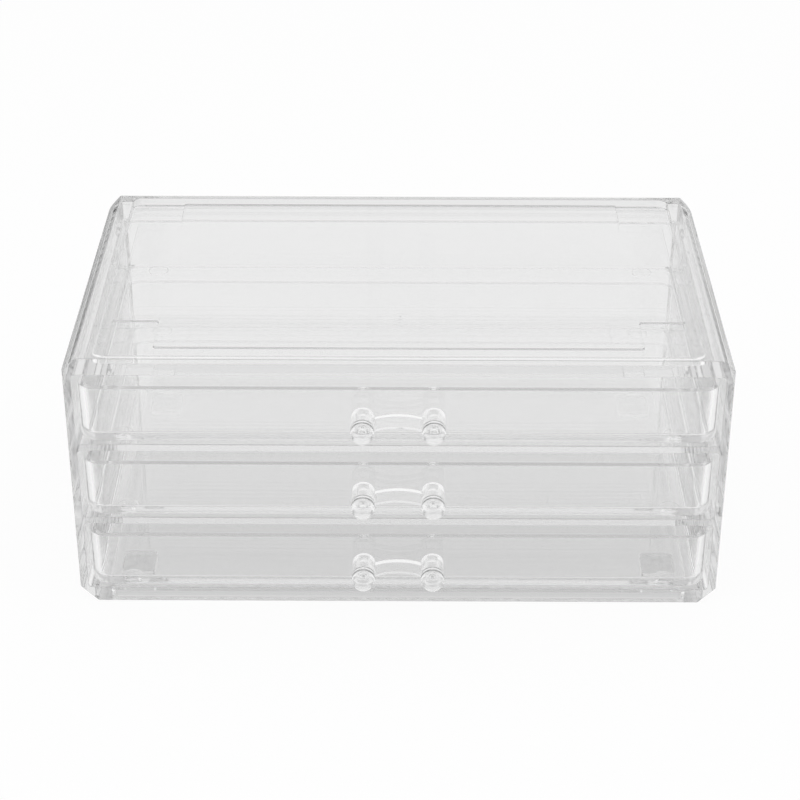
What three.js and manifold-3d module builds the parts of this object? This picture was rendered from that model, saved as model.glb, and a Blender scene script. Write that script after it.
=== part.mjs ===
// A clear drawer box for a dressing table: one moulded casing with three bays, and in each bay a lift-out
// tray whose front carries a bow-shaped grip held by two dome-headed pins.
// Millimetres, +Z up, X across the width, the open front towards -Y.
import * as THREE from 'three';
import { mergeVertices } from 'three/addons/utils/BufferGeometryUtils.js';
import Module from 'manifold-3d';

const wasm = await Module();
wasm.setup();

// Sizes of the casing.
const casingWidth = 240;
const casingDepth = 142;
const sideWall = 3;
const backWall = 3;
const bottomPanel = 3;
const shelfThickness = 2.8;
const topPanel = 3.8;
const bayHeight = 28.7;
const skirtHeight = 3;
const rimHeight = 2.9;
const topChamferAcross = 4.8;
const topChamferDown = 4.2;
const bottomChamfer = 6.4;
const backUprightRadius = 6.5;
const backEdgeRadius = 1.8;
const bayEdgeRadius = 1.6;
const bayBackRadius = 3.6;

// Sizes of the stacking features on the casing's top and underside.
const rimFront = 2.9;
const rimBack = 4.2;
const rimSide = 10.3;
const recessRadius = 4;
const plateauHeight = 0.5;
const plateauFront = 13.5;
const plateauSide = 14.2;
const notchWidth = 17;
const notchLength = 20.5;
const plateauRadius = 1.2;
const skirtWidth = 4;
const footWidth = 12.5;
const footLength = 13;
const footRadius = 2;

// Sizes of a tray.
const traySideClearance = 0.9;
const trayBackClearance = 1.5;
const trayRunningClearance = 0.3;
const trayTopGap = 5.5;
const trayWall = 2.2;
const trayFloor = 2.2;
const trayCornerRadius = 7.7;
const trayBottomRadius = 1.3;
const trayInsideRadius = 1.6;
const trayDraft = 0.5;
const padHeight = 0.8;
const padRadius = 4;
const padInset = 15.4;
const padFromEdge = 5.6;

// Sizes of a grip and its pins.
const knobSpacing = 25.6;
const barrelRadius = 4.3;
const barrelLength = 8.6;
const barHeight = 5.1;
const barThickness = 2.5;
const barMiddleOff = 1.1;
const barEndOff = 3.6;
const barMiter = 0.6;
const shankRadius = 1.7;
const shankClearance = 0.3;
const collarLength = 2.8;
const grooveDepth = 0.45;
const grooveWidth = 0.7;
const headEdge = 0.35;

// How finely curves are divided, how far a cutting shape overruns what it cuts, the least rounding that a
// corner keeps, and how close two points must lie to count as one.
const quarterSteps = 6;
const barrelSides = 32;
const pinSides = 24;
const domeSteps = 6;
const barSteps = 12;
const overrun = 1;
const leastRounding = 0.2;
const weldDistance = 0.00001;

// Levels and planes that follow from the sizes.
const rows = ['bottom', 'middle', 'top'];
const bayPitch = bayHeight + shelfThickness;
const firstBayFloor = skirtHeight + bottomPanel;
const panelTop = firstBayFloor + rows.length * bayPitch - shelfThickness + topPanel;
const casingHeight = panelTop + rimHeight;
const domeRadius = barrelRadius;
const gripReach = barrelLength + collarLength + domeRadius;
const frontPlane = (gripReach - casingDepth) / 2;
const backPlane = frontPlane + casingDepth;
const halfWidth = casingWidth / 2;

const trayWidth = casingWidth - 2 * (sideWall + traySideClearance);
const trayDepth = casingDepth - backWall - trayBackClearance;
const trayHeight = bayHeight - trayTopGap - trayRunningClearance;
const trayMiddle = frontPlane + trayDepth / 2;

// Turns three.js geometry into a closed solid.
function solid(geometry) {
  const bare = geometry.index ? geometry.toNonIndexed() : geometry.clone();
  bare.deleteAttribute('normal');
  bare.deleteAttribute('uv');
  const merged = mergeVertices(bare, weldDistance);
  const vertProperties = new Float32Array(merged.attributes.position.array);
  const triVerts = new Uint32Array(merged.index.array);
  return new wasm.Manifold(new wasm.Mesh({ numProp: 3, vertProperties, triVerts }));
}

// Turns a closed solid into a named mesh.
function meshOf(name, body, look) {
  const data = body.getMesh();
  const geometry = new THREE.BufferGeometry();
  geometry.setAttribute('position', new THREE.BufferAttribute(new Float32Array(data.vertProperties), 3));
  geometry.setIndex(new THREE.BufferAttribute(new Uint32Array(data.triVerts), 1));
  geometry.computeVertexNormals();
  const mesh = new THREE.Mesh(geometry, new THREE.MeshStandardMaterial(look));
  mesh.name = name;
  return mesh;
}

// Directions that an outline is laid on: its own x and y, then the way it is extruded.
const plan = [[1, 0, 0], [0, 1, 0], [0, 0, 1]];
const front = [[1, 0, 0], [0, 0, 1], [0, -1, 0]];
const side = [[0, 1, 0], [0, 0, 1], [1, 0, 0]];

// Extrudes an outline over a length and puts its start at the given place along the extrusion.
function extruded(outline, directions, start, length) {
  const geometry = new THREE.ExtrudeGeometry(outline, {
    depth: length, bevelEnabled: false, curveSegments: quarterSteps,
  });
  geometry.translate(0, 0, start);
  const [x, y, z] = directions.map((d) => new THREE.Vector3(...d));
  geometry.applyMatrix4(new THREE.Matrix4().makeBasis(x, y, z));
  return solid(geometry);
}

// A closed outline through corners [x, y, radius], each rounded by an arc where its radius isn't zero.
function roundedOutline(corners) {
  const shape = new THREE.Shape();
  const at = corners.map(([x, y]) => new THREE.Vector2(x, y));
  corners.forEach(([, , radius], i) => {
    const here = at[i];
    const before = at[(i + corners.length - 1) % corners.length].clone().sub(here).normalize();
    const after = at[(i + 1) % corners.length].clone().sub(here).normalize();
    const halfAngle = Math.acos(THREE.MathUtils.clamp(before.dot(after), -1, 1)) / 2;
    const reach = radius / Math.tan(halfAngle);
    const first = here.clone().addScaledVector(before, reach);
    const draw = i === 0 ? 'moveTo' : 'lineTo';
    shape[draw](first.x, first.y);
    if (radius > 0) {
      const inward = before.clone().add(after).normalize();
      const centre = here.clone().addScaledVector(inward, radius / Math.sin(halfAngle));
      const last = here.clone().addScaledVector(after, reach);
      const from = first.clone().sub(centre).angle();
      const to = last.clone().sub(centre).angle();
      const leftTurn = before.cross(after) < 0;
      shape.absarc(centre.x, centre.y, radius, from, to, !leftTurn);
    }
  });
  shape.closePath();
  return shape;
}

function roundedRectangle(left, low, right, high, radius) {
  return roundedOutline([[left, low, radius], [right, low, radius], [right, high, radius], [left, high, radius]]);
}

// The casing. Its front outline is an upright oblong with its four long edges cut off at a slant.
function casingFrontOutline() {
  const shoulder = halfWidth - topChamferAcross;
  const sole = halfWidth - bottomChamfer;
  return roundedOutline([
    [-sole, 0, 0], [sole, 0, 0], [halfWidth, bottomChamfer, 0], [halfWidth, casingHeight - topChamferDown, 0],
    [shoulder, casingHeight, 0], [-shoulder, casingHeight, 0],
    [-halfWidth, casingHeight - topChamferDown, 0], [-halfWidth, bottomChamfer, 0],
  ]);
}

// The block is where three outlines meet: the front one, the plan with its rounded back corners, and the
// side one with its softened back edges.
function casingBlock() {
  const fromFront = extruded(casingFrontOutline(), front, -backPlane, casingDepth);
  const planOutline = roundedOutline([
    [-halfWidth, frontPlane, 0], [halfWidth, frontPlane, 0],
    [halfWidth, backPlane, backUprightRadius], [-halfWidth, backPlane, backUprightRadius],
  ]);
  const sideOutline = roundedOutline([
    [frontPlane, 0, 0], [backPlane, 0, backEdgeRadius],
    [backPlane, casingHeight, backEdgeRadius], [frontPlane, casingHeight, 0],
  ]);
  return fromFront
    .intersect(extruded(planOutline, plan, 0, casingHeight))
    .intersect(extruded(sideOutline, side, -halfWidth, casingWidth));
}

function bayFloor(row) {
  return firstBayFloor + row * bayPitch;
}

// A bay is open at the front, with eased long edges and rounded back corners.
function bay(row) {
  const low = bayFloor(row);
  const inside = halfWidth - sideWall;
  const deepest = backPlane - backWall;
  const mouth = roundedRectangle(-inside, low, inside, low + bayHeight, bayEdgeRadius);
  const floorPlan = roundedOutline([
    [-inside, frontPlane - overrun, 0], [inside, frontPlane - overrun, 0],
    [inside, deepest, bayBackRadius], [-inside, deepest, bayBackRadius],
  ]);
  return extruded(mouth, front, -deepest, deepest - frontPlane + overrun)
    .intersect(extruded(floorPlan, plan, low - overrun, bayHeight + 2 * overrun));
}

// The recess in the top leaves a rim all round.
function topRecess() {
  const across = halfWidth - rimSide;
  const outline = roundedRectangle(-across, frontPlane + rimFront, across, backPlane - rimBack, recessRadius);
  return extruded(outline, plan, panelTop, rimHeight + overrun);
}

// A low plateau on the panel is notched at its corners, where the feet of a box above come down.
function topPlateau() {
  const outer = halfWidth - plateauSide;
  const inner = outer - notchWidth;
  const start = frontPlane + plateauFront;
  const end = backPlane - rimBack + plateauHeight;
  const r = plateauRadius;
  const outline = roundedOutline([
    [-inner, start, r], [inner, start, r], [inner, start + notchLength, r], [outer, start + notchLength, r],
    [outer, end - notchLength, r], [inner, end - notchLength, r], [inner, end, 0],
    [-inner, end, 0], [-inner, end - notchLength, r], [-outer, end - notchLength, r],
    [-outer, start + notchLength, r], [-inner, start + notchLength, r],
  ]);
  return extruded(outline, plan, panelTop - plateauHeight, 2 * plateauHeight);
}

// The underside is hollowed inside a skirt, and a foot stands in each corner of the hollow.
function undersideHollow() {
  const across = halfWidth - bottomChamfer - skirtWidth;
  const outline = roundedRectangle(-across, frontPlane + skirtWidth, across, backPlane - skirtWidth, recessRadius);
  return extruded(outline, plan, -overrun, skirtHeight + overrun);
}

function foot(xSign, ySign) {
  const x = halfWidth - plateauSide;
  const y = casingDepth / 2 - plateauFront + footRadius;
  const middle = (frontPlane + backPlane) / 2;
  const [xLow, xHigh] = xSign < 0 ? [-x, footWidth - x] : [x - footWidth, x];
  const [yLow, yHigh] = ySign < 0 ? [middle - y, middle - y + footLength] : [middle + y - footLength, middle + y];
  return extruded(roundedRectangle(xLow, yLow, xHigh, yHigh, footRadius), plan, 0, skirtHeight);
}

function casing() {
  let body = casingBlock().subtract(topRecess()).add(topPlateau()).subtract(undersideHollow());
  for (const x of [-1, 1]) {
    for (const y of [-1, 1]) {
      body = body.add(foot(x, y));
    }
  }
  rows.forEach((name, row) => {
    body = body.subtract(bay(row));
  });
  return body;
}

// The trays. A ring is one level of a tray's form: a rounded oblong drawn in by an inset, with the same points
// at every level.
function ring(width, depth, radius, inset, z) {
  const points = [];
  const rounding = Math.max(radius - inset, leastRounding);
  const x = width / 2 - inset - rounding;
  const y = depth / 2 - inset - rounding;
  [[x, y], [-x, y], [-x, -y], [x, -y]].forEach(([cx, cy], corner) => {
    for (let i = 0; i <= quarterSteps; i += 1) {
      const angle = (corner + i / quarterSteps) * Math.PI / 2;
      points.push([cx + rounding * Math.cos(angle), cy + rounding * Math.sin(angle), z]);
    }
  });
  return points;
}

// Joins rings of equal count, lowest first, into a closed solid.
function loft(rings) {
  const count = rings[0].length;
  const middles = [rings[0], rings[rings.length - 1]].map((r) => [0, 0, r[0][2]]);
  const positions = [...rings.flat(), ...middles].flat();
  const bottom = rings.length * count;
  const indices = [];
  for (let j = 0; j < count; j += 1) {
    const k = (j + 1) % count;
    for (let i = 0; i + 1 < rings.length; i += 1) {
      const [a, b] = [i * count, (i + 1) * count];
      indices.push(a + j, a + k, b + k, a + j, b + k, b + j);
    }
    const top = (rings.length - 1) * count;
    indices.push(k, j, bottom, top + j, top + k, bottom + 1);
  }
  const geometry = new THREE.BufferGeometry();
  geometry.setAttribute('position', new THREE.Float32BufferAttribute(positions, 3));
  geometry.setIndex(indices);
  return geometry;
}

// Rings that round the bottom edge over a quarter circle and then rise to the top, leaning out by the draft.
function tubRings(width, depth, radius, edge, low, high, draft) {
  const rings = [];
  for (let i = 0; i <= quarterSteps; i += 1) {
    const angle = i / quarterSteps * Math.PI / 2;
    rings.push(ring(width, depth, radius, draft + edge * (1 - Math.sin(angle)), low + edge * (1 - Math.cos(angle))));
  }
  rings.push(ring(width, depth, radius, 0, high));
  return rings;
}

// A tray stands on four low round pads near its corners.
function trayPads(low) {
  const x = trayWidth / 2 - padInset;
  const y = trayDepth / 2 - padFromEdge;
  const pads = [];
  for (const padX of [-x, x]) {
    for (const padY of [-y, y]) {
      const disc = new THREE.CylinderGeometry(padRadius, padRadius, padHeight + trayFloor / 2, pinSides);
      disc.rotateX(Math.PI / 2);
      disc.translate(padX, trayMiddle + padY, low + (padHeight + trayFloor / 2) / 2);
      pads.push(solid(disc));
    }
  }
  return pads;
}

function gripCentreHeight(row) {
  return bayFloor(row) + trayRunningClearance + trayHeight / 2;
}

function rod(radius, sides, from, to, x, z) {
  const geometry = new THREE.CylinderGeometry(radius, radius, to - from, sides);
  geometry.translate(x, (from + to) / 2, z);
  return solid(geometry);
}

function tray(row) {
  const low = bayFloor(row) + trayRunningClearance;
  const high = low + trayHeight;
  const floorLow = low + padHeight;
  const floorHigh = floorLow + trayFloor;
  const outer = tubRings(trayWidth, trayDepth, trayCornerRadius, trayBottomRadius, floorLow, high, 0);
  const inner = tubRings(
    trayWidth - 2 * trayWall, trayDepth - 2 * trayWall, trayCornerRadius - trayWall,
    trayInsideRadius, floorHigh, high, trayDraft,
  );
  const last = inner[inner.length - 1];
  inner.push(last.map(([x, y, z]) => [x, y, z + overrun]));
  const place = (rings) => solid(loft(rings).translate(0, trayMiddle, 0));
  let body = place(outer).subtract(place(inner));
  for (const pad of trayPads(low)) {
    body = body.add(pad);
  }
  for (const x of [-knobSpacing / 2, knobSpacing / 2]) {
    const hole = rod(
      shankRadius + shankClearance, pinSides, frontPlane - overrun, frontPlane + trayWall + overrun,
      x, gripCentreHeight(row),
    );
    body = body.subtract(hole);
  }
  return body;
}

// The grips. The bar's plan is a band between two arcs that bow towards the tray's front.
function barOutline() {
  const reach = knobSpacing / 2 - barrelRadius + barMiter;
  const bow = barEndOff - barMiddleOff;
  const radius = (reach * reach + bow * bow) / (2 * bow);
  const halfAngle = Math.asin(reach / radius);
  const centre = -barMiddleOff - radius;
  const band = [];
  for (let i = 0; i <= barSteps; i += 1) {
    const angle = Math.PI / 2 + halfAngle * (2 * i / barSteps - 1);
    band.push([radius * Math.cos(angle), centre + radius * Math.sin(angle)]);
  }
  const near = band.map(([x, y]) => new THREE.Vector2(x, frontPlane + y));
  const far = band.map(([x, y]) => new THREE.Vector2(x, frontPlane + y - barThickness)).reverse();
  return new THREE.Shape([...near, ...far]);
}

function grip(row) {
  const z = gripCentreHeight(row);
  let body = extruded(barOutline(), plan, z - barHeight / 2, barHeight);
  const knobs = [-knobSpacing / 2, knobSpacing / 2];
  for (const x of knobs) {
    body = body.add(rod(barrelRadius, barrelSides, frontPlane - barrelLength, frontPlane, x, z));
  }
  for (const x of knobs) {
    const bore = rod(
      shankRadius + shankClearance, pinSides, frontPlane - barrelLength - overrun, frontPlane + overrun, x, z,
    );
    body = body.subtract(bore);
  }
  return body;
}

// A pin is turned about its axis: a shank through the barrel and the tray's front, a collar that seats on the
// barrel's end, a groove, and a domed end.
function pin(x, row) {
  const shoulder = barrelLength;
  const neck = shoulder + collarLength;
  const profile = [
    [0, -trayWall], [shankRadius, -trayWall], [shankRadius, shoulder],
    [barrelRadius - headEdge, shoulder], [barrelRadius, shoulder + headEdge],
    [barrelRadius, neck - grooveWidth], [barrelRadius - grooveDepth, neck - grooveWidth / 2], [barrelRadius, neck],
  ];
  for (let i = 1; i <= domeSteps; i += 1) {
    const angle = i / domeSteps * Math.PI / 2;
    profile.push([i === domeSteps ? 0 : barrelRadius * Math.cos(angle), neck + domeRadius * Math.sin(angle)]);
  }
  const geometry = new THREE.LatheGeometry(profile.map(([r, y]) => new THREE.Vector2(r, y)), pinSides);
  geometry.rotateX(Math.PI);
  geometry.translate(x, frontPlane, gripCentreHeight(row));
  return solid(geometry);
}

// The whole part.
const clear = { color: 0xe4e8ea, roughness: 0.06, metalness: 0, transparent: true, opacity: 0.35 };
const shellLook = { ...clear };
const trayLook = { ...clear, color: 0xdfe5e8 };
const gripLook = { ...clear, color: 0xd5dde1, opacity: 0.5 };
const pinLook = { ...clear, color: 0xccd5da, opacity: 0.6 };

const part = new THREE.Group();
part.add(meshOf('casing', casing(), shellLook));
rows.forEach((name, row) => {
  part.add(meshOf(`tray_${name}`, tray(row), trayLook));
  part.add(meshOf(`grip_${name}`, grip(row), gripLook));
  part.add(meshOf(`pin_${name}_left`, pin(-knobSpacing / 2, row), pinLook));
  part.add(meshOf(`pin_${name}_right`, pin(knobSpacing / 2, row), pinLook));
});

export default part;
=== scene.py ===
# %% [markdown]
# # A clear drawer box for a dressing table
# The real object is a moulded box of clear plastic with three bays. In each bay slides a clear tray, and
# on each tray's front sits a bow-shaped grip, held by two pins with domed ends. The shapes and the motion
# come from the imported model. This script turns it into something to look at: eased edges, turned pins,
# clear plastic with the faint marks of moulding and handling, and the white studio of the photograph.

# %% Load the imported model
import math

import bmesh
import bpy
from mathutils import Matrix, Vector


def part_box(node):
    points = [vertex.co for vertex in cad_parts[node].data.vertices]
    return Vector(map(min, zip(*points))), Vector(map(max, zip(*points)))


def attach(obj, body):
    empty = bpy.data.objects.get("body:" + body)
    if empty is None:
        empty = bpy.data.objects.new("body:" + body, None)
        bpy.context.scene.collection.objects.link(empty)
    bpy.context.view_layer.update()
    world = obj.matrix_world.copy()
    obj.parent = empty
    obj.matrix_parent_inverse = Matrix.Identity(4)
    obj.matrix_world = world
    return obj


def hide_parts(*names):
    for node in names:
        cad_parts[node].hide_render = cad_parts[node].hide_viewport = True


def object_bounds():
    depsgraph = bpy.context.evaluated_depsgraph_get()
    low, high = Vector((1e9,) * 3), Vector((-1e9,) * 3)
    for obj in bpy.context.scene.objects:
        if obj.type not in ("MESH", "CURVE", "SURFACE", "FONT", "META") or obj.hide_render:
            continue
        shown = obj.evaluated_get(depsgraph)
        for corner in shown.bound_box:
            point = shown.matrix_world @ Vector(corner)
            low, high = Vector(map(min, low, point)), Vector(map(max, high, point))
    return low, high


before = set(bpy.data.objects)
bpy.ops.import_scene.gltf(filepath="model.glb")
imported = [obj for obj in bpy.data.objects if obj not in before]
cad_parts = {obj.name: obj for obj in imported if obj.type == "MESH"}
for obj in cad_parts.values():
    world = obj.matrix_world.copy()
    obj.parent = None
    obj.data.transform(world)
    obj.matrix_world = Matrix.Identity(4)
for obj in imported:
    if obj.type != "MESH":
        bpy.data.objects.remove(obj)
cad_low, cad_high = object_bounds()
ROWS = ("bottom", "middle", "top")
MM = 0.001

# %% [markdown]
# ## Camera
# The photograph looks down at about thirty degrees, almost square to the front, through a long lens. The
# place and the turn were found by matching the box's corners to the picture. A camera built from three
# turns keeps each of them readable: the pitch, and a fraction of yaw and of roll, because the picture
# isn't quite level.

# %% Camera at the photograph's angle
SENSOR_WIDTH = 36
LENS = 93.3
CAMERA_PLACE = Vector((0.0026, -0.70805, 0.4579))
PITCH, YAW, ROLL = (math.radians(d) for d in (29.83, 0.18, 0.14))

camera_data = bpy.data.cameras.new("camera")
camera_data.sensor_width = SENSOR_WIDTH
camera_data.lens = LENS
camera = bpy.data.objects.new("camera", camera_data)
bpy.context.scene.collection.objects.link(camera)
camera.matrix_world = (
    Matrix.Translation(CAMERA_PLACE)
    @ Matrix.Rotation(YAW, 4, "Z")
    @ Matrix.Rotation(math.pi / 2 - PITCH, 4, "X")
    @ Matrix.Rotation(ROLL, 4, "Z")
)
bpy.context.scene.camera = camera
print("camera looks along", [round(c, 3) for c in camera.matrix_world.col[2].xyz * -1])

# %% [markdown]
# ## Small helpers
# A mesh is worked on as a bmesh and then linked as an object that sits at the origin, with its place in
# its vertices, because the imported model's own pieces are like that and the two must move together.

# %% From bmesh to a finished piece
SMOOTH_LIMIT = math.radians(50)
LARGEST_FACE_RULES = 100


def finished(name, mesh, body, replaced, material):
    """Links a bmesh as a piece that rides on a body and stands for CAD nodes."""
    data = bpy.data.meshes.new(name)
    mesh.to_mesh(data)
    mesh.free()
    data.shade_smooth()
    data.set_sharp_from_angle(angle=SMOOTH_LIMIT)
    data.materials.append(material)
    piece = bpy.data.objects.new(name, data)
    bpy.context.scene.collection.objects.link(piece)
    level = piece.modifiers.new("flat faces stay flat", "WEIGHTED_NORMAL")
    level.keep_sharp = True
    level.weight = LARGEST_FACE_RULES
    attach(piece, body)
    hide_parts(*replaced)
    return piece


# %% [markdown]
# A material here is a few noises and coordinates, brought into range and multiplied. Written out node by
# node that hides what is meant, so each kind of node has a function, and a material reads as a formula.

# %% Nodes written as formulas
def new_node(tree, kind, **settings):
    """A node with its settings, and with the values of its inputs that aren't linked."""
    node = tree.nodes.new(kind)
    for key, value in settings.items():
        if key in node.inputs:
            node.inputs[key].default_value = value
        else:
            setattr(node, key, value)
    return node


def feed(tree, given, value):
    """Links another node's output to an input, or writes a plain value there."""
    if isinstance(value, bpy.types.NodeSocket):
        tree.links.new(value, given)
    else:
        given.default_value = value


def coordinates(tree, kind="Object"):
    """The place in the object's own frame, or another of the texture coordinates."""
    return tree.nodes.new("ShaderNodeTexCoord").outputs[kind]


def split(tree, vector):
    """The X, Y and Z of a place or a direction."""
    node = tree.nodes.new("ShaderNodeSeparateXYZ")
    tree.links.new(vector, node.inputs["Vector"])
    return node.outputs


def noise(tree, place, **settings):
    """Soft noise from 0 to 1."""
    node = tree.nodes.new("ShaderNodeTexNoise")
    tree.links.new(place, node.inputs["Vector"])
    for name, value in settings.items():
        feed(tree, node.inputs[name], value)
    return node.outputs["Fac"]


def ranged(tree, value, start, end, first, last):
    """A value carried from one range to another and held at its ends."""
    node = new_node(tree, "ShaderNodeMapRange",
                    **{"From Min": start, "From Max": end, "To Min": first, "To Max": last})
    tree.links.new(value, node.inputs["Value"])
    return node.outputs["Result"]


def worked(tree, operation, *values):
    """Sum, product or the like of other nodes' outputs and plain numbers."""
    node = new_node(tree, "ShaderNodeMath", operation=operation)
    for given, value in zip(node.inputs, values):
        feed(tree, given, value)
    return node.outputs["Value"]


def blended(tree, share, first, second, kind="FLOAT"):
    """Goes from the first value or colour to the second as the share goes from 0 to 1."""
    node = new_node(tree, "ShaderNodeMix", data_type=kind)
    for name, value in (("Factor", share), ("A", first), ("B", second)):
        feed(tree, node.inputs[name], value)
    return node.outputs["Result"]


def bumped(tree, height, distance, normal=None):
    """A normal that follows a height, on top of another normal where one is given."""
    node = new_node(tree, "ShaderNodeBump", Strength=1.0, Distance=distance)
    tree.links.new(height, node.inputs["Height"])
    if normal is not None:
        tree.links.new(normal, node.inputs["Normal"])
    return node.outputs["Normal"]


def new_group(name, values, outputs):
    """A group that takes values, each with its usual number and its limits, and what it puts out."""
    group = bpy.data.node_groups.new(name, "ShaderNodeTree")
    for label, (usual, low, high) in values.items():
        made = group.interface.new_socket(name=label, in_out="INPUT", socket_type="NodeSocketFloat")
        made.default_value = usual
        made.min_value, made.max_value = low, high
    for label, kind in outputs.items():
        group.interface.new_socket(name=label, in_out="OUTPUT", socket_type=kind)
    into = group.nodes.new("NodeGroupInput").outputs
    out = group.nodes.new("NodeGroupOutput").inputs
    return group, into, out


# %% [markdown]
# ## Clear plastic
# The box and the trays are crystal-clear polystyrene, which looks like acrylic and is what such boxes are
# moulded from. Clear plastic could be a see-through mix, which never bends light. The Principled shader
# with full transmission bends and mirrors it as the real thing does, so the walls show at their edges and
# in their reflections, as in the photograph. The plastic also swallows a little light, which greys the
# long ways through it. Real mouldings are never quite flat or clean, so a shared group gives each surface
# a slow waviness, and fine rubbed marks that come in patches.

# %% The shared group for a moulded and handled surface
CLEAN = (0.999, 0.999, 0.999, 1)
RUBBED = (0.97, 0.97, 0.97, 1)
MARKS_SCALE = 420.0
MARKS_DETAIL = 5.0
MARKS_ROUGHNESS = 0.6
MARKS_STRETCH = (1, 1, 0.35)
MARKS_FROM = (0.52, 0.8)
PATCHES_SCALE = 55.0
PATCHES_DETAIL = 2.0
PATCHES_FROM = (0.42, 0.7)
WAVES_DETAIL = 1.0


def handled_surface():
    group, into, out = new_group(
        "moulded and handled surface",
        {"Polish": (0.01, 0, 1), "Rubbing": (0.05, 0, 1), "Waves Per Metre": (30, 0, 1000)},
        {"Colour": "NodeSocketColor", "Roughness": "NodeSocketFloat", "Height": "NodeSocketFloat"})
    place = coordinates(group)
    stretch = new_node(group, "ShaderNodeMapping", Scale=MARKS_STRETCH)
    group.links.new(place, stretch.inputs["Vector"])
    marks = noise(group, stretch.outputs["Vector"],
                  Scale=MARKS_SCALE, Detail=MARKS_DETAIL, Roughness=MARKS_ROUGHNESS)
    patches = noise(group, place, Scale=PATCHES_SCALE, Detail=PATCHES_DETAIL)
    worn = ranged(group, marks, *MARKS_FROM, 0, 1)
    where = ranged(group, patches, *PATCHES_FROM, 0, 1)
    rubbed = worked(group, "MULTIPLY", worn, where)
    rougher = worked(group, "MULTIPLY", rubbed, into["Rubbing"])
    feed(group, out["Roughness"], worked(group, "ADD", rougher, into["Polish"]))
    feed(group, out["Colour"], blended(group, rubbed, CLEAN, RUBBED, "RGBA"))
    feed(group, out["Height"], noise(group, place, Scale=into["Waves Per Metre"], Detail=WAVES_DETAIL))
    return group


SURFACE = handled_surface()
print("group outputs:", [s.name for s in SURFACE.interface.items_tree if s.in_out == "OUTPUT"])

# %% One material for each finish in the record
PLASTIC_IOR = 1.59
SWALLOWED_PER_METRE = 0.9


def clear_plastic(name, polish, rubbing, waves_per_metre, wave_height):
    material = bpy.data.materials.new(name)
    material.use_nodes = True
    tree = material.node_tree
    shader = tree.nodes["Principled BSDF"].inputs
    shader["IOR"].default_value = PLASTIC_IOR
    shader["Transmission Weight"].default_value = 1
    depth = new_node(tree, "ShaderNodeVolumeAbsorption", Color=(0, 0, 0, 1), Density=SWALLOWED_PER_METRE)
    feed(tree, tree.nodes["Material Output"].inputs["Volume"], depth.outputs["Volume"])
    surface = new_node(tree, "ShaderNodeGroup", node_tree=SURFACE,
                       **{"Polish": polish, "Rubbing": rubbing, "Waves Per Metre": waves_per_metre})
    feed(tree, shader["Normal"], bumped(tree, surface.outputs["Height"], wave_height))
    feed(tree, shader["Base Color"], surface.outputs["Colour"])
    feed(tree, shader["Roughness"], surface.outputs["Roughness"])
    return material


CASING_CLEAR = clear_plastic(
    "casing clear", polish=0.01, rubbing=0.05, waves_per_metre=28, wave_height=0.003 * MM)
TRAY_CLEAR = clear_plastic(
    "tray clear", polish=0.012, rubbing=0.06, waves_per_metre=34, wave_height=0.004 * MM)
GRIP_CLEAR = clear_plastic(
    "grip clear", polish=0.015, rubbing=0.08, waves_per_metre=160, wave_height=0.002 * MM)
PIN_CLEAR = clear_plastic(
    "pin clear", polish=0.01, rubbing=0.05, waves_per_metre=160, wave_height=0.001 * MM)
print("materials:", [m.name for m in (CASING_CLEAR, TRAY_CLEAR, GRIP_CLEAR, PIN_CLEAR)])

# %% [markdown]
# ## Moulded shells
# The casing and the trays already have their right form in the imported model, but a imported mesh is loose
# triangles with knife edges. A real mould can't make a knife edge, and in clear plastic the eased edge is
# what shows, as a thin line of light. They could be modelled again from nothing. A copy of the packed
# mesh that is joined up, freed of its flat seams and then bevelled keeps every size and gains the edges.

# %% A joined-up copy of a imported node, with its edges eased
MERGE_DISTANCE = 0.05 * MM
FLAT_ANGLE = math.radians(0.4)
EDGE_ANGLE = math.radians(30)
EASE_SEGMENTS = 2
ROUND_PROFILE = 0.5


def joined_copy(node):
    mesh = bmesh.new()
    mesh.from_mesh(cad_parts[node].data)
    bmesh.ops.remove_doubles(mesh, verts=mesh.verts, dist=MERGE_DISTANCE)
    bmesh.ops.dissolve_limit(mesh, angle_limit=FLAT_ANGLE, verts=mesh.verts, edges=mesh.edges)
    return mesh


def ease(mesh, width, wanted=lambda edge: True):
    """Bevels the hard edges that are wanted. No clamp: one very short edge would hold back all others."""
    edges = [e for e in mesh.edges
             if len(e.link_faces) == 2 and e.calc_face_angle() > EDGE_ANGLE and wanted(e)]
    bmesh.ops.bevel(
        mesh, geom=edges, offset=width, offset_type="OFFSET", affect="EDGES", segments=EASE_SEGMENTS,
        profile=ROUND_PROFILE, material=-1, clamp_overlap=False,
    )
    return len(edges)


def tell(name, mesh, eased):
    """Says what became of a mesh. Clear plastic needs a closed one, so the open edges should be 0."""
    print(name, "edges eased", eased, "faces", len(mesh.faces),
          "open edges", sum(not e.is_manifold for e in mesh.edges))


# %% [markdown]
# The casing carries two marks of its own. On the top panel is the gate mark, a low ring round a nub,
# where the plastic was let into the mould. Under the feet the plastic is scuffed grey by the table, and
# more so in front, where the box is pulled at. Both are too fine for the mesh, so they are worked out
# from the place on the surface.

# %% The gate mark and the scuffed feet
GATE_ACROSS = 0.5 * MM
GATE_DEEP = -24.7 * MM
GATE_RADIUS = 2.8 * MM
GATE_HEIGHT = 0.05 * MM
GATE_ABOVE = 100 * MM
RING_MIDDLE = 0.82
RING_HALF = 0.18
NUB_SHARE = 0.3
NUB_TALLER = 2.5
FEET_BELOW = (0.1 * MM, 0.3 * MM)
SCUFF_GREY = (0.72, 0.72, 0.72, 1)
SCUFF_ROUGHNESS = 0.25
SCUFF_REACH = (-0.03, 0.03)
SCUFF_BEHIND = 0.1
BLOTCH_SCALE = 350.0
BLOTCH_DETAIL = 4.0
BLOTCH_FROM = (0.35, 0.65)
BLOTCH_LEAST = 0.5


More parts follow.
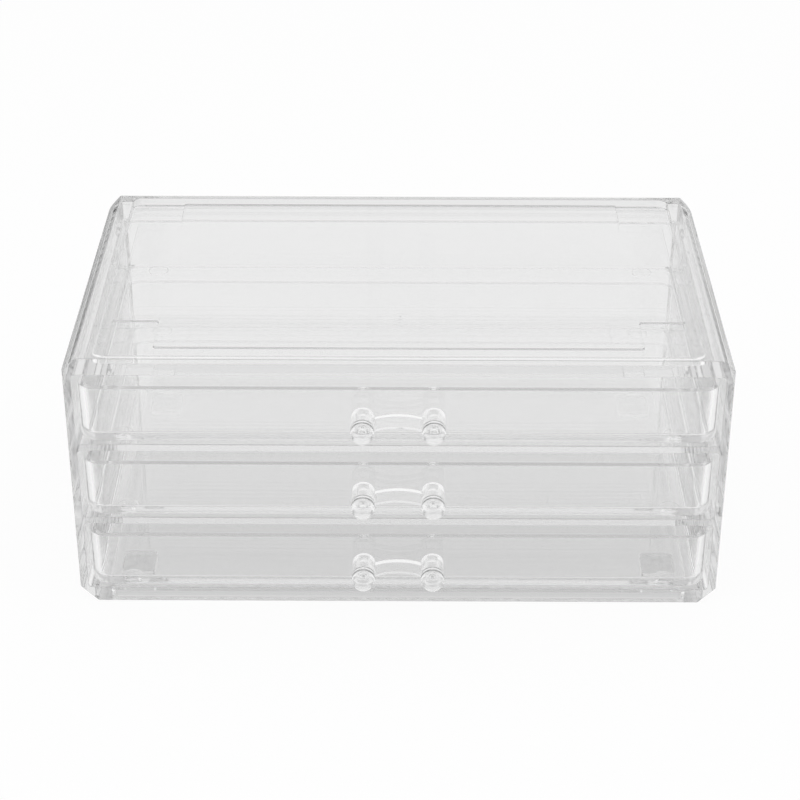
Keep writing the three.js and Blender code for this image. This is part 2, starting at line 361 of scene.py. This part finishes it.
def gate_mark():
    """Height of a ring and a nub round a place on the top panel. Lengths are shares of the radius."""
    group, into, out = new_group(
        "gate mark",
        {"Across": (0, -1, 1), "Deep": (0, -1, 1), "Radius": (GATE_RADIUS, 0, 1)},
        {"Height": "NodeSocketFloat"})
    x, y, z = split(group, coordinates(group))
    squares = []
    for part, middle in ((x, "Across"), (y, "Deep")):
        off = worked(group, "SUBTRACT", part, into[middle])
        squares.append(worked(group, "MULTIPLY", off, off))
    far = worked(group, "DIVIDE", worked(group, "SQRT", worked(group, "ADD", *squares)), into["Radius"])
    off_ring = worked(group, "ABSOLUTE", worked(group, "SUBTRACT", far, RING_MIDDLE))
    ring = ranged(group, off_ring, 0, RING_HALF, 1, 0)
    nub = ranged(group, far, 0, NUB_SHARE, NUB_TALLER, 0)
    on_top = worked(group, "GREATER_THAN", z, GATE_ABOVE)
    feed(group, out["Height"], worked(group, "MULTIPLY", worked(group, "MAXIMUM", ring, nub), on_top))
    return group


def scuffed_feet():
    """A blotchy mask on what lies within a hair of the table, strong in front and weak behind."""
    group, _, out = new_group("scuffed feet", {}, {"Mask": "NodeSocketFloat"})
    place = coordinates(group)
    _, y, z = split(group, place)
    low = ranged(group, z, *FEET_BELOW, 1, 0)
    rearward = ranged(group, y, *SCUFF_REACH, 1, SCUFF_BEHIND)
    blotches = noise(group, place, Scale=BLOTCH_SCALE, Detail=BLOTCH_DETAIL)
    share = worked(group, "MULTIPLY", ranged(group, blotches, *BLOTCH_FROM, BLOTCH_LEAST, 1), rearward)
    feed(group, out["Mask"], worked(group, "MULTIPLY", low, share))
    return group


def mark_casing(material):
    """Adds the gate mark to the material's normal, and the scuffs to its colour and roughness."""
    tree = material.node_tree
    shader = tree.nodes["Principled BSDF"].inputs
    colour, roughness, normal = (
        shader[name].links[0].from_socket for name in ("Base Color", "Roughness", "Normal"))
    gate = new_node(tree, "ShaderNodeGroup", node_tree=gate_mark(), Across=GATE_ACROSS, Deep=GATE_DEEP)
    scuffs = new_node(tree, "ShaderNodeGroup", node_tree=scuffed_feet()).outputs["Mask"]
    feed(tree, shader["Normal"], bumped(tree, gate.outputs["Height"], GATE_HEIGHT, normal))
    feed(tree, shader["Base Color"], blended(tree, scuffs, colour, SCUFF_GREY, "RGBA"))
    feed(tree, shader["Roughness"], blended(tree, scuffs, roughness, SCUFF_ROUGHNESS))


mark_casing(CASING_CLEAR)
print("marked:", CASING_CLEAR.name)

# %% [markdown]
# The casing is one piece with its shelves, rim and feet. All its hard edges are eased at once, apart from
# the back corners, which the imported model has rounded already.

# %% Casing
CASING_EASE = 0.2 * MM
BACK_CORNER_ACROSS = 7 * MM
BACK_CORNER_DEEP = 5 * MM


def at_back_corner(vertex):
    return (abs(vertex.co.x) > cad_high.x - BACK_CORNER_ACROSS
            and vertex.co.y > cad_high.y - BACK_CORNER_DEEP)


def off_back_corner(edge):
    """False on the casing's rounded back corners, which are soft already and crowded with short edges."""
    return not all(at_back_corner(vertex) for vertex in edge.verts)


casing = joined_copy("casing")
eased = ease(casing, CASING_EASE, off_back_corner)
tell("casing", casing, eased)
finished("casing_shell", casing, "casing", ["casing"], CASING_CLEAR)

# %% [markdown]
# The trays are thin tubs from a second mould, so their edges are sharper than the casing's. They are the
# same three times, each on its own body, and a loop makes them.

# %% Trays
TRAY_EASE = 0.15 * MM

for row in ROWS:
    node = f"tray_{row}"
    tray = joined_copy(node)
    eased = ease(tray, TRAY_EASE)
    tell(node, tray, eased)
    finished(f"tray_{row}_tub", tray, node, [node], TRAY_CLEAR)

# %% [markdown]
# ## Grips and pins
# Each grip is one bow-shaped bar between two short barrels. It touches the tray's front and the pins'
# collars. Two clear pieces whose faces lie exactly on each other trap the light between them in a path
# tracer, and show black, so the grip is drawn in by a few hundredths of a millimetre at both ends, as any
# real joint has a film of air.

# %% Grips
GRIP_EASE = 0.15 * MM
AIR_FILM = 0.04 * MM


def drawn_in(mesh, low, high, film):
    """Scales a mesh along Y about its middle so that both ends leave a film of air."""
    middle = (low + high) / 2
    share = 1 - 2 * film / (high - low)
    about_middle = Matrix.Translation((0, -middle, 0))
    bmesh.ops.scale(mesh, vec=(1, share, 1), space=about_middle, verts=mesh.verts)


for row in ROWS:
    node = f"grip_{row}"
    low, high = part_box(node)
    grip = joined_copy(node)
    eased = ease(grip, GRIP_EASE)
    drawn_in(grip, low.y, high.y, AIR_FILM)
    tell(node, grip, eased)
    finished(f"grip_{row}_bow", grip, f"tray_{row}", [node], GRIP_CLEAR)

# %% [markdown]
# The photograph shows two dark arcs on each knob. They are painted shade in the collar's corner and in the
# groove behind the dome: a dark grey painted into the colour. The shade is painted only on what faces up,
# shows only from outside, and lies wider at the knob's sides.

# %% Painted shade in the knobs' grooves
# The dark grey that is painted into the pins' colour as shade in the collar's corner and the groove.
GROOVE_SHADE_GREY = (0.12, 0.12, 0.12, 1)
GROOVE_SHADE_HALF_WIDTH = 0.5 * MM
GROOVE_SHADE_SPREAD = (0.8, 1.7)
GROOVE_SHADE_FADE = (0.6, 1.0)
UPPER_FROM = (0.02, 0.08)


def groove_shade_mask():
    """A mask for painted shade in two grooves that run round a pin at given places along Y."""
    group, into, out = new_group(
        "painted shade in the grooves",
        {"First Groove": (0, -1, 1), "Second Groove": (0, -1, 1), "Half Width": (GROOVE_SHADE_HALF_WIDTH, 0, 1)},
        {"Painted Shade": "NodeSocketFloat"})
    _, along, _ = split(group, coordinates(group))
    sideways, _, upwards = split(group, coordinates(group, "Normal"))
    spread = ranged(group, worked(group, "ABSOLUTE", sideways), 0, 1, *GROOVE_SHADE_SPREAD)
    reach = worked(group, "MULTIPLY", into["Half Width"], spread)
    rings = []
    for name in ("First Groove", "Second Groove"):
        off = worked(group, "ABSOLUTE", worked(group, "SUBTRACT", along, into[name]))
        rings.append(ranged(group, worked(group, "DIVIDE", off, reach), *GROOVE_SHADE_FADE, 1, 0))
    upper = ranged(group, upwards, *UPPER_FROM, 0, 1)
    feed(group, out["Painted Shade"], worked(group, "MULTIPLY", worked(group, "MAXIMUM", *rings), upper))
    return group


def paint_groove_shade(material, first, second):
    """Paints shade into a clear material's colour from outside, in grooves at two places along Y."""
    tree = material.node_tree
    colour = tree.nodes["Principled BSDF"].inputs["Base Color"]
    clean = colour.links[0].from_socket
    painted_shade = new_node(tree, "ShaderNodeGroup", node_tree=groove_shade_mask(),
                    **{"First Groove": first, "Second Groove": second})
    inside = tree.nodes.new("ShaderNodeNewGeometry").outputs["Backfacing"]
    share = worked(tree, "MULTIPLY", painted_shade.outputs["Painted Shade"], worked(tree, "SUBTRACT", 1.0, inside))
    # Painted shade: the dark grey is blended into the colour where the mask says.
    feed(tree, colour, blended(tree, share, clean, GROOVE_SHADE_GREY, "RGBA"))


# %% [markdown]
# The pins are round all over, so they are turned: half of the outline is drawn and spun about the pin's
# own line. Lathe work is the way a pattern maker would do it too. The outline runs from the shank's end
# inside the tray, along the barrel, out under the collar, over the groove and round the dome to the tip.

# %% Pins
PIN_SPIN_STEPS = 64
PIN_MERGE = 0.002 * MM
SHANK_RADIUS = 1.7 * MM
HEAD_EDGE = 0.35 * MM
GROOVE_WIDTH = 0.7 * MM
GROOVE_DEPTH = 0.45 * MM
SHOULDER_SHADE_OFF = 0.5 * MM
DOME_STEPS = 18


def pin_profile(radius, back, shoulder, tip):
    """Points (distance from the pin's line, place along Y) from the shank's end to the tip."""
    neck = tip + radius
    profile = [
        (0, back), (SHANK_RADIUS - HEAD_EDGE / 2, back), (SHANK_RADIUS, back - HEAD_EDGE / 2),
        (SHANK_RADIUS, shoulder), (radius - HEAD_EDGE, shoulder), (radius, shoulder - HEAD_EDGE),
        (radius, neck + GROOVE_WIDTH), (radius - GROOVE_DEPTH, neck + GROOVE_WIDTH / 2), (radius, neck),
    ]
    for step in range(1, DOME_STEPS):
        angle = step / DOME_STEPS * math.pi / 2
        profile.append((radius * math.cos(angle), neck - radius * math.sin(angle)))
    profile.append((0, tip))
    return profile


def put_in_order(mesh):
    """Sorts edges and faces by their corners, because spinning orders them anew at each run."""
    mesh.verts.index_update()
    count = len(mesh.verts)

    def place(part):
        corners = [vertex.index for vertex in part.verts]
        return min(corners) * count + max(corners)

    mesh.edges.sort(key=place)
    mesh.faces.sort(key=place)


def turned(profile, x, z):
    mesh = bmesh.new()
    points = [mesh.verts.new((x + r, y, z)) for r, y in profile]
    edges = [mesh.edges.new(pair) for pair in zip(points, points[1:])]
    bmesh.ops.spin(mesh, geom=points + edges, cent=(x, 0, z), axis=(0, 1, 0), angle=math.tau,
                   steps=PIN_SPIN_STEPS, use_merge=True)
    bmesh.ops.remove_doubles(mesh, verts=mesh.verts, dist=PIN_MERGE)
    put_in_order(mesh)
    bmesh.ops.recalc_face_normals(mesh, faces=mesh.faces)
    return mesh


for row in ROWS:
    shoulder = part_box(f"grip_{row}")[0].y
    for hand in ("left", "right"):
        node = f"pin_{row}_{hand}"
        low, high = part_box(node)
        radius = (high.x - low.x) / 2
        profile = pin_profile(radius, high.y, shoulder, low.y)
        pin = turned(profile, (low.x + high.x) / 2, (low.z + high.z) / 2)
        print(node, "faces", len(pin.faces), "open edges", sum(not e.is_manifold for e in pin.edges))
        finished(f"{node}_turned", pin, f"tray_{row}", [node], PIN_CLEAR)

# All pins lie equally deep, so the last one's places serve for every one.
groove = low.y + radius + GROOVE_WIDTH / 2
# The shade is painted at the collar's corner and in the groove behind the dome.
paint_groove_shade(PIN_CLEAR, shoulder - SHOULDER_SHADE_OFF, groove)

# %% [markdown]
# ## Studio
# The photograph is high key: white all round, no hard light, hardly any shadow. Clear plastic shows its
# surroundings, so these matter more than the lamps. The floor is part lit and part shining by itself, so
# that it stays white for the camera and still carries the box's shadow in its lit part. For rays that come
# through or off the plastic the floor's own shine is painted darker: a painted shadow under the box, and
# painted darkening behind it and far off, and a band high on the world's back is darker too. That gives the
# fronts and the top panel the greys of the photograph.

# %% Floor
FLOOR_HALF = 6.0
FLOOR_DROP = 0.2 * MM
FLOOR_PALE = (0.9, 0.9, 0.9, 1)
WHITE = (1, 1, 1, 1)
SHINE_TO_CAMERA = 0.95
SHINE_TO_PLASTIC = 0.85
# The level of the painted shadow in the floor's shine under the box.
SHADOW_PAINTED_UNDER_BOX = 0.65
SHADE_SIDE = (0.108, 0.12)
SHADE_FRONT = (-0.066, -0.056)
SHADE_BACK = (0.097, 0.112)
BEHIND_BOX = 0.83
BEHIND_REACH = (0.08, 0.12)
FAR_SHARE = 0.8
FAR_REACH = (0.25, 0.6)
FAR_LEFT_SHARE = 0.35
LEFT_REACH = (-0.15, -0.45)
LEFT_FROM = (0.1, 0.35)


def by_ray(tree, otherwise, to_plastic, to_camera):
    """What diffuse light gets, what glossy and transmission rays get, and what the camera gets."""
    path = tree.nodes.new("ShaderNodeLightPath").outputs
    plastic = worked(tree, "MAXIMUM", path["Is Glossy Ray"], path["Is Transmission Ray"])
    not_camera = blended(tree, plastic, otherwise, to_plastic)
    return blended(tree, path["Is Camera Ray"], not_camera, to_camera)


def floor_level(tree):
    """How bright the plastic sees the floor at each place, with a painted shadow under the box and painted
    darkening behind it and far off.
    """
    across, deep, _ = split(tree, coordinates(tree))
    beside = worked(tree, "ABSOLUTE", across)
    after_front = ranged(tree, deep, *SHADE_FRONT, 0, 1)
    before_back = ranged(tree, deep, *SHADE_BACK, 1, 0)
    between = worked(tree, "MULTIPLY", after_front, before_back)
    # Painted shadow: where the box stands over the floor, its shine is dimmed to the level under the box.
    painted_shadow = worked(tree, "MULTIPLY", ranged(tree, beside, *SHADE_SIDE, 1, 0), between)
    # The shine is also painted darker behind the box, far back, and far off to the back left.
    behind = ranged(tree, deep, *BEHIND_REACH, 1, BEHIND_BOX)
    aft = ranged(tree, deep, *FAR_REACH, 1, FAR_SHARE)
    left = ranged(tree, across, *LEFT_REACH, 1, FAR_LEFT_SHARE)
    left_aft = blended(tree, ranged(tree, deep, *LEFT_FROM, 0, 1), 1.0, left)
    open_floor = worked(tree, "MULTIPLY", worked(tree, "MULTIPLY", behind, aft), left_aft)
    return blended(tree, painted_shadow, open_floor, SHADOW_PAINTED_UNDER_BOX)


floor_mesh = bmesh.new()
bmesh.ops.create_grid(floor_mesh, x_segments=1, y_segments=1, size=FLOOR_HALF,
                      matrix=Matrix.Translation((0, 0, -FLOOR_DROP)))
floor_data = bpy.data.meshes.new("floor")
floor_mesh.to_mesh(floor_data)
floor_mesh.free()
floor = bpy.data.objects.new("floor", floor_data)
bpy.context.scene.collection.objects.link(floor)

floor_white = bpy.data.materials.new("floor white")
floor_white.use_nodes = True
tree = floor_white.node_tree
tree.nodes.clear()
lit = new_node(tree, "ShaderNodeBsdfDiffuse", Color=FLOOR_PALE)
shine = new_node(tree, "ShaderNodeEmission", Color=WHITE)
blend = tree.nodes.new("ShaderNodeMixShader")
surface_out = tree.nodes.new("ShaderNodeOutputMaterial")
# The shine that the plastic sees carries the painted shadow and the painted darkening.
feed(tree, shine.inputs["Strength"], by_ray(tree, 0.0, floor_level(tree), 1.0))
feed(tree, blend.inputs["Fac"], by_ray(tree, 0.0, SHINE_TO_PLASTIC, SHINE_TO_CAMERA))
feed(tree, blend.inputs[1], lit.outputs["BSDF"])
feed(tree, blend.inputs[2], shine.outputs["Emission"])
feed(tree, surface_out.inputs["Surface"], blend.outputs["Shader"])
floor_data.materials.append(floor_white)
print("floor:", 2 * FLOOR_HALF, "m wide,", floor_white.name)

# %% [markdown]
# Round the floor is a white room. A backdrop mesh could do it, but the world needs no mesh. What the
# plastic sees of the room's back changes with height: the rim's edges gather what lies high there, and in
# the photograph they are dark.

# %% World
AMBIENT = 0.45
FRONT_LEVEL = 0.9
SIDE_LEVEL = 0.9
SIDE_FROM = (0.6, 0.8)
FRONT_TO_BACK = (-0.15, 0.15)
BACK_LEVELS = (
    (0.0, 0.9), (0.26, 0.88), (0.5, 0.87), (0.64, 0.8), (0.74, 0.35), (0.88, 0.35), (0.95, 0.95),
)

world = bpy.data.worlds.new("white room")
bpy.context.scene.world = world
world.use_nodes = True
tree = world.node_tree
background = tree.nodes["Background"].inputs
background["Color"].default_value = WHITE
across, deep, height = split(tree, coordinates(tree, "Generated"))
back_wall = tree.nodes.new("ShaderNodeValToRGB")
steps = back_wall.color_ramp.elements
while len(steps) < len(BACK_LEVELS):
    steps.new(1.0)
for step, (place, level) in zip(steps, BACK_LEVELS):
    step.position = place
    step.color = (level, level, level, 1)
feed(tree, back_wall.inputs["Fac"], height)
backwards = ranged(tree, deep, *FRONT_TO_BACK, 0, 1)
sideways = ranged(tree, worked(tree, "ABSOLUTE", across), *SIDE_FROM, 0, 1)
around = blended(tree, backwards, FRONT_LEVEL, back_wall.outputs["Color"])
around = blended(tree, sideways, around, SIDE_LEVEL)
feed(tree, background["Strength"], by_ray(tree, AMBIENT, around, 1.0))
print("world:", world.name, "with", len(steps), "levels at the back")

# %% [markdown]
# Three soft lamps light what isn't clear, such as the painted shade in the knobs' grooves and the scuffs,
# at a plain level. The plastic doesn't mirror them, because bright rectangles in it aren't in the
# photograph.

# %% Lamps
LAMPS = {
    "softbox overhead": ((0, 0, 1.2), (1.9, 1.3), 7.2),
    "softbox left": ((-1.2, -0.6, 0.7), (1.0, 1.3), 5.5),
    "softbox right": ((1.2, -0.4, 0.7), (1.0, 1.3), 4.5),
}
for name, (place, size, power) in LAMPS.items():
    lamp = bpy.data.lights.new(name, "AREA")
    lamp.shape = "RECTANGLE"
    lamp.size, lamp.size_y = size
    lamp.energy = power
    holder = bpy.data.objects.new(name, lamp)
    bpy.context.scene.collection.objects.link(holder)
    holder.location = place
    holder.rotation_euler = (-Vector(place)).to_track_quat("-Z", "Y").to_euler()
    holder.visible_glossy = False
    holder.visible_transmission = False
print("lamps:", list(LAMPS))

# %% [markdown]
# ## Picture settings
# Colours are shown as written. Light has to pass a dozen walls and more before it leaves the box, so it
# is allowed more turns than usual.

# %% View and light paths
LIGHT_TURNS = 128

scene = bpy.context.scene
scene.view_settings.view_transform = "Standard"
scene.cycles.max_bounces = LIGHT_TURNS
scene.cycles.transmission_bounces = LIGHT_TURNS
scene.cycles.glossy_bounces = LIGHT_TURNS
print("light turns:", scene.cycles.max_bounces)

# %% Sizes, and the end
print("CAD box", [round(v, 5) for v in (*cad_low, *cad_high)])
